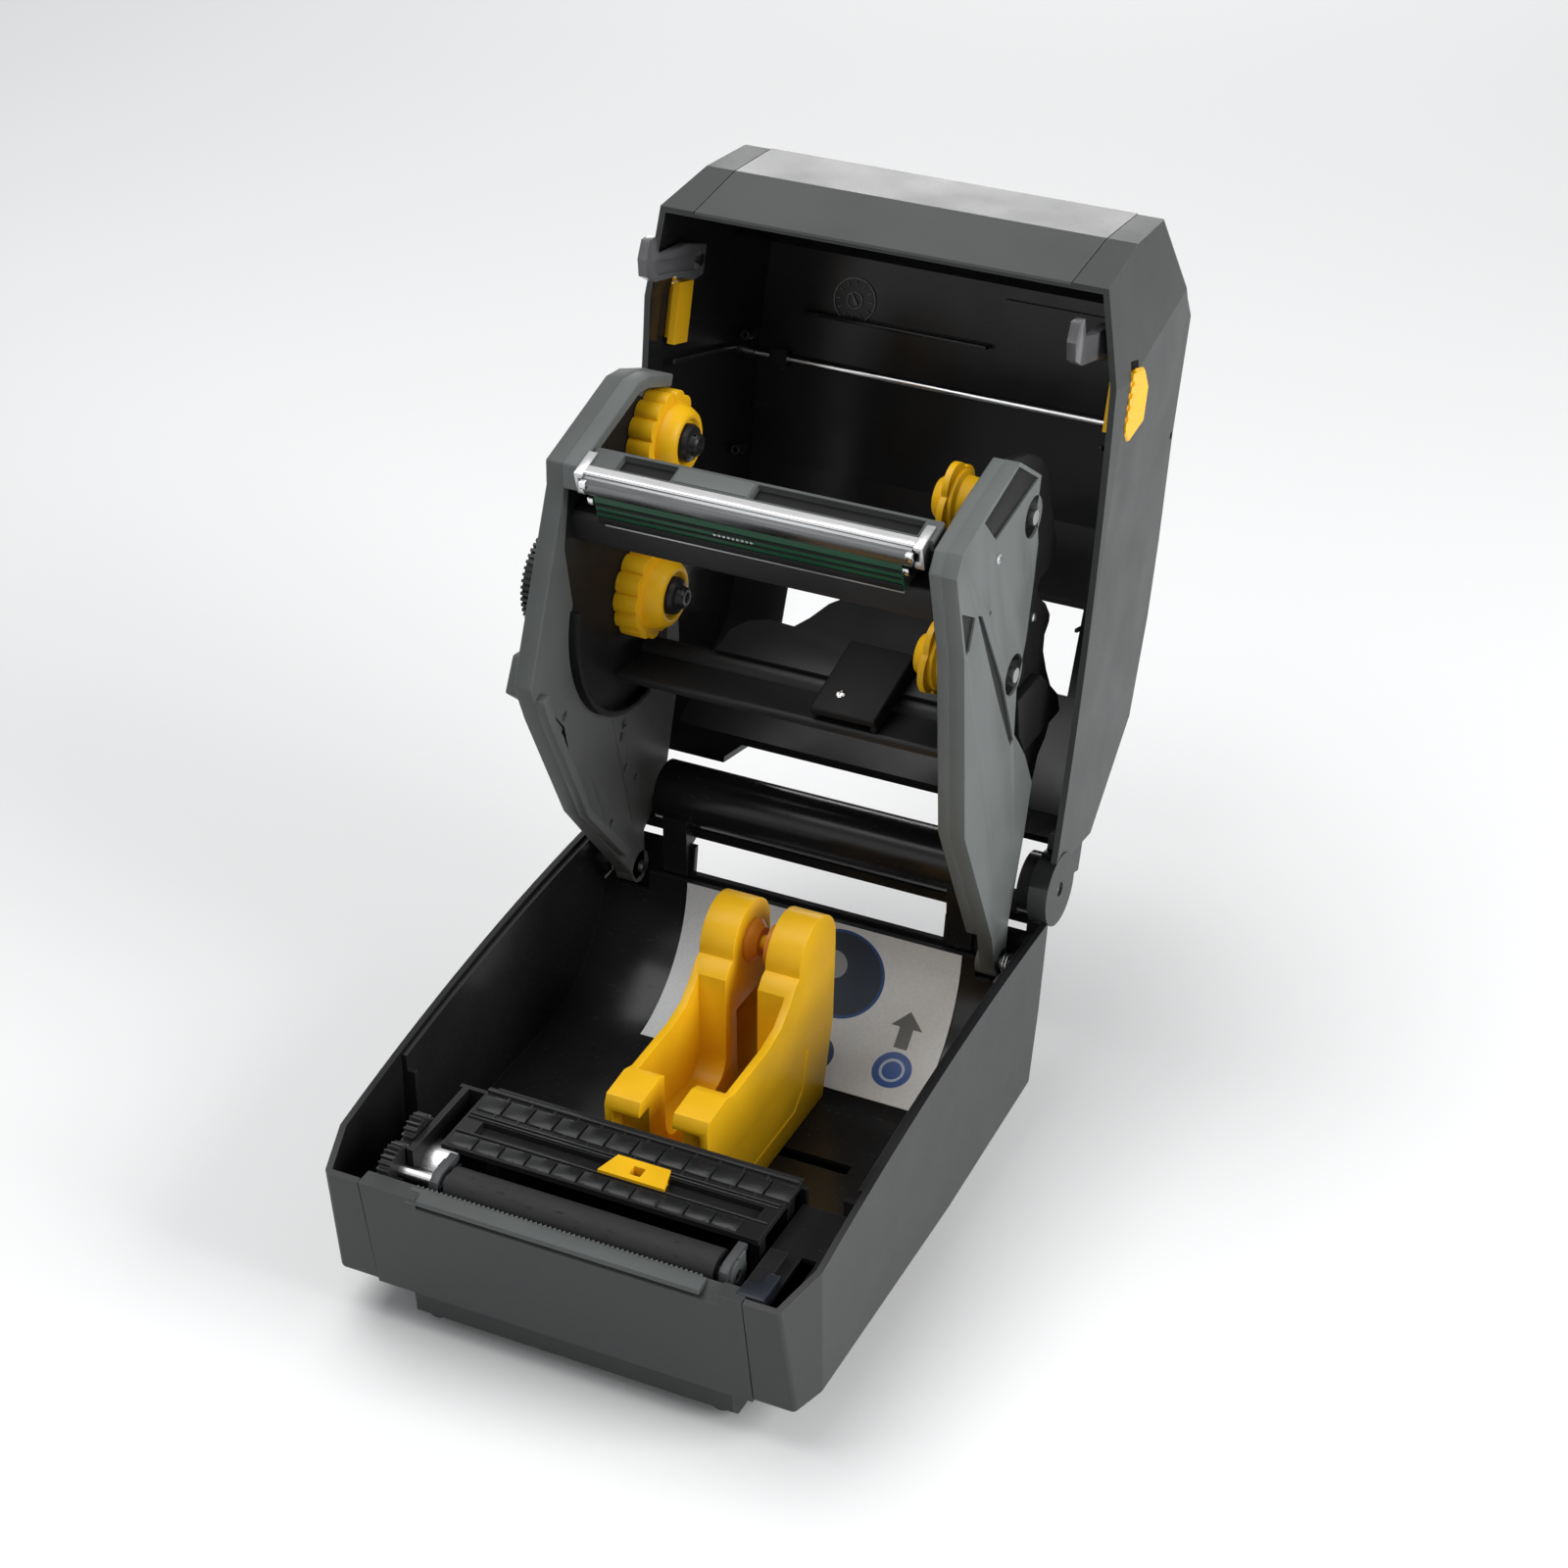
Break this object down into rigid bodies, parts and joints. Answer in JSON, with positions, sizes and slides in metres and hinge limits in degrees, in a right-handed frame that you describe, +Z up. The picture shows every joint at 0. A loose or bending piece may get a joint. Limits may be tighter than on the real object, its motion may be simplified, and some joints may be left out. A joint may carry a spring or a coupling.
{
  "type": "desktop thermal label printer",
  "caption": "Desktop thermal transfer label printer with its lid and ribbon carriage swung open over the platen, label roll guides, print head and ribbon hubs.",
  "frame": {"origin": "centre of the open printer's footprint box, on the surface it stands on", "axes": "+Z up, -Y out of the printer's front where labels leave, +X to the right of someone facing the front"},
  "size_m": [0.2028, 0.3877, 0.3549],
  "materials": {
    "case_charcoal": "fine matte texture",
    "liner_black": "glossy black",
    "inner_black": "satin black",
    "frame_grey": "matte dark grey",
    "golden_yellow": "satin golden yellow",
    "steel": "satin",
    "bright_steel": "polished",
    "platen_rubber": "matte",
    "foot_rubber": "matte",
    "clear_pane": "clear plastic",
    "smoke_clear": "smoke clear plastic",
    "card_paper": "printed card, coated",
    "board_green": "solder mask",
    "copper_wire": "copper coloured",
    "heat_sink": "satin",
    "motor_can": "satin black",
    "port_metal": "satin",
    "button_grey": "satin"
  },
  "bodies": {
    "base": {"base_shell": "case_charcoal", "front_bezel": "case_charcoal", "tear_bar": "case_charcoal", "base_plinth": "inner_black", "rubber_feet": "foot_rubber", "tub_liner": "liner_black", "media_deck": "liner_black", "chassis_frame": "inner_black", "hinge_beam": "inner_black", "loading_card": "card_paper", "main_board": "board_green", "stepper_motor": "motor_can", "rear_panel": "inner_black", "power_inlet": "inner_black", "data_ports": "port_metal", "pivot_pins": "steel", "pivot_springs": "steel", "case_screws": "steel"},
    "power_switch": {"power_switch": "inner_black"},
    "platen": {"platen_shaft": "bright_steel", "platen_roller": "platen_rubber", "platen_gear": "inner_black"},
    "idler": {"idler_gear": "inner_black"},
    "motor_pinion": {"motor_pinion": "inner_black"},
    "bearing_left": {"bearing_left": "frame_grey"},
    "bearing_right": {"bearing_right": "frame_grey"},
    "media_sensor": {"media_sensor": "golden_yellow"},
    "guide_left": {"roll_guide_left": "golden_yellow"},
    "guide_right": {"roll_guide_right": "golden_yellow"},
    "core_hub_left": {"core_hub_left": "golden_yellow"},
    "core_hub_right": {"core_hub_right": "golden_yellow"},
    "guide_pinion": {"guide_pinion": "inner_black"},
    "lid": {"lid_shell": "case_charcoal", "lid_front_panel": "case_charcoal", "lid_window": "clear_pane", "lid_rod": "bright_steel", "control_panel": "inner_black"},
    "button_power": {"button_power": "button_grey"},
    "button_pause": {"button_pause": "button_grey"},
    "button_feed": {"button_feed": "button_grey"},
    "button_cancel": {"button_cancel": "button_grey"},
    "latch_left": {"latch_left": "golden_yellow"},
    "latch_right": {"latch_right": "golden_yellow"},
    "lock_hook_left": {"lock_hook_left": "smoke_clear"},
    "lock_hook_right": {"lock_hook_right": "smoke_clear"},
    "carriage": {"carriage_right_frame": "frame_grey", "carriage_left_frame": "frame_grey", "carriage_cross_frame": "inner_black", "head_rail": "bright_steel", "head_sink": "heat_sink", "head_board": "board_green", "hub_springs": "copper_wire", "carriage_screws": "steel"},
    "takeup_hub_left": {"takeup_hub_left": "golden_yellow"},
    "supply_hub_left": {"supply_hub_left": "golden_yellow"},
    "takeup_spindle": {"takeup_spindle": "inner_black"},
    "supply_spindle": {"supply_spindle": "inner_black"},
    "takeup_hub_right": {"takeup_hub_right": "golden_yellow"},
    "supply_hub_right": {"supply_hub_right": "golden_yellow"}
  },
  "joints": [
    {"name": "lid_hinge", "type": "hinge", "parent": "base", "child": "lid", "pos_m": [0, 0.0537, 0.1073], "axis": [1, 0, 0], "range_deg": [0, 107]},
    {"name": "carriage_hinge", "type": "hinge", "parent": "base", "child": "carriage", "pos_m": [0, 0.03, 0.082], "axis": [1, 0, 0], "range_deg": [0, 76]},
    {"name": "platen_spin", "type": "hinge", "parent": "base", "child": "platen", "pos_m": [0, -0.1765, 0.0715], "axis": [1, 0, 0], "continuous": true},
    {"name": "idler_spin", "type": "hinge", "parent": "base", "child": "idler", "pos_m": [0, -0.15917, 0.07518], "axis": [1, 0, 0], "continuous": true},
    {"name": "motor_spin", "type": "hinge", "parent": "base", "child": "motor_pinion", "pos_m": [0, -0.15917, 0.06066], "axis": [1, 0, 0], "continuous": true},
    {"name": "bearing_left_turn", "type": "hinge", "parent": "base", "child": "bearing_left", "pos_m": [0, -0.1765, 0.0715], "axis": [1, 0, 0], "range_deg": [-50, 0]},
    {"name": "bearing_right_turn", "type": "hinge", "parent": "base", "child": "bearing_right", "pos_m": [0, -0.1765, 0.0715], "axis": [1, 0, 0], "range_deg": [-50, 0]},
    {"name": "sensor_slide", "type": "slide", "parent": "base", "child": "media_sensor", "axis": [1, 0, 0], "range_m": [-0.053, 0.036]},
    {"name": "guide_right_slide", "type": "slide", "parent": "base", "child": "guide_right", "axis": [1, 0, 0], "range_m": [0, 0.038], "stiffness_N_per_m": 30},
    {"name": "guide_left_slide", "type": "slide", "parent": "base", "child": "guide_left", "axis": [1, 0, 0], "range_m": [-0.038, 0]},
    {"name": "guide_pinion_spin", "type": "hinge", "parent": "base", "child": "guide_pinion", "pos_m": [0.007, -0.069, 0.019], "axis": [0, 0, 1], "range_deg": [-242, 0]},
    {"name": "core_hub_left_spin", "type": "hinge", "parent": "guide_left", "child": "core_hub_left", "pos_m": [0, -0.022, 0.101], "axis": [1, 0, 0], "continuous": true},
    {"name": "core_hub_right_spin", "type": "hinge", "parent": "guide_right", "child": "core_hub_right", "pos_m": [0, -0.022, 0.101], "axis": [1, 0, 0], "continuous": true},
    {"name": "power_rocker", "type": "hinge", "parent": "base", "child": "power_switch", "pos_m": [0, 0.0264, 0.043], "axis": [1, 0, 0], "range_deg": [-12, 0]},
    {"name": "button_power_press", "type": "slide", "parent": "lid", "child": "button_power", "axis": [0, -0.9563, 0.2924], "range_m": [0, 0.0006], "stiffness_N_per_m": 300},
    {"name": "button_pause_press", "type": "slide", "parent": "lid", "child": "button_pause", "axis": [0, -0.9563, 0.2924], "range_m": [0, 0.0006], "stiffness_N_per_m": 300},
    {"name": "button_feed_press", "type": "slide", "parent": "lid", "child": "button_feed", "axis": [0, -0.9563, 0.2924], "range_m": [0, 0.0006], "stiffness_N_per_m": 300},
    {"name": "button_cancel_press", "type": "slide", "parent": "lid", "child": "button_cancel", "axis": [0, -0.9563, 0.2924], "range_m": [0, 0.0006], "stiffness_N_per_m": 300},
    {"name": "latch_left_slide", "type": "slide", "parent": "lid", "child": "latch_left", "axis": [0, 0.2924, 0.9563], "range_m": [0, 0.004], "stiffness_N_per_m": 300},
    {"name": "lock_hook_left_turn", "type": "hinge", "parent": "lid", "child": "lock_hook_left", "pos_m": [0, 0.11757, 0.32065], "axis": [1, 0, 0], "range_deg": [0, 8]},
    {"name": "latch_right_slide", "type": "slide", "parent": "lid", "child": "latch_right", "axis": [0, 0.2924, 0.9563], "range_m": [0, 0.004], "stiffness_N_per_m": 300},
    {"name": "lock_hook_right_turn", "type": "hinge", "parent": "lid", "child": "lock_hook_right", "pos_m": [0, 0.11757, 0.32065], "axis": [1, 0, 0], "range_deg": [0, 8]},
    {"name": "takeup_left_spin", "type": "hinge", "parent": "carriage", "child": "takeup_hub_left", "pos_m": [0, 0.04868, 0.27577], "axis": [1, 0, 0], "continuous": true},
    {"name": "takeup_spindle_slide", "type": "slide", "parent": "carriage", "child": "takeup_spindle", "axis": [1, 0, 0], "range_m": [0, 0.005], "stiffness_N_per_m": 200, "deforming": ["hub_springs"]},
    {"name": "takeup_right_spin", "type": "hinge", "parent": "takeup_spindle", "child": "takeup_hub_right", "pos_m": [0, 0.04868, 0.27577], "axis": [1, 0, 0], "continuous": true},
    {"name": "supply_left_spin", "type": "hinge", "parent": "carriage", "child": "supply_hub_left", "pos_m": [0, 0.03348, 0.21479], "axis": [1, 0, 0], "continuous": true},
    {"name": "supply_spindle_slide", "type": "slide", "parent": "carriage", "child": "supply_spindle", "axis": [1, 0, 0], "range_m": [0, 0.005], "stiffness_N_per_m": 200, "deforming": ["hub_springs"]},
    {"name": "supply_right_spin", "type": "hinge", "parent": "supply_spindle", "child": "supply_hub_right", "pos_m": [0, 0.03348, 0.21479], "axis": [1, 0, 0], "continuous": true}
  ],
  "couplings": [
    {"joint": "carriage_hinge", "follows": "lid_hinge", "ratio": 0.71028},
    {"joint": "idler_spin", "follows": "platen_spin", "ratio": -1.2},
    {"joint": "motor_spin", "follows": "platen_spin", "ratio": 1.5},
    {"joint": "guide_left_slide", "follows": "guide_right_slide", "ratio": -1},
    {"joint": "guide_pinion_spin", "follows": "guide_right_slide", "rad_per_m": -111.11},
    {"joint": "lock_hook_left_turn", "follows": "latch_left_slide", "rad_per_m": 34.9},
    {"joint": "lock_hook_right_turn", "follows": "latch_right_slide", "rad_per_m": 34.9}
  ]
}
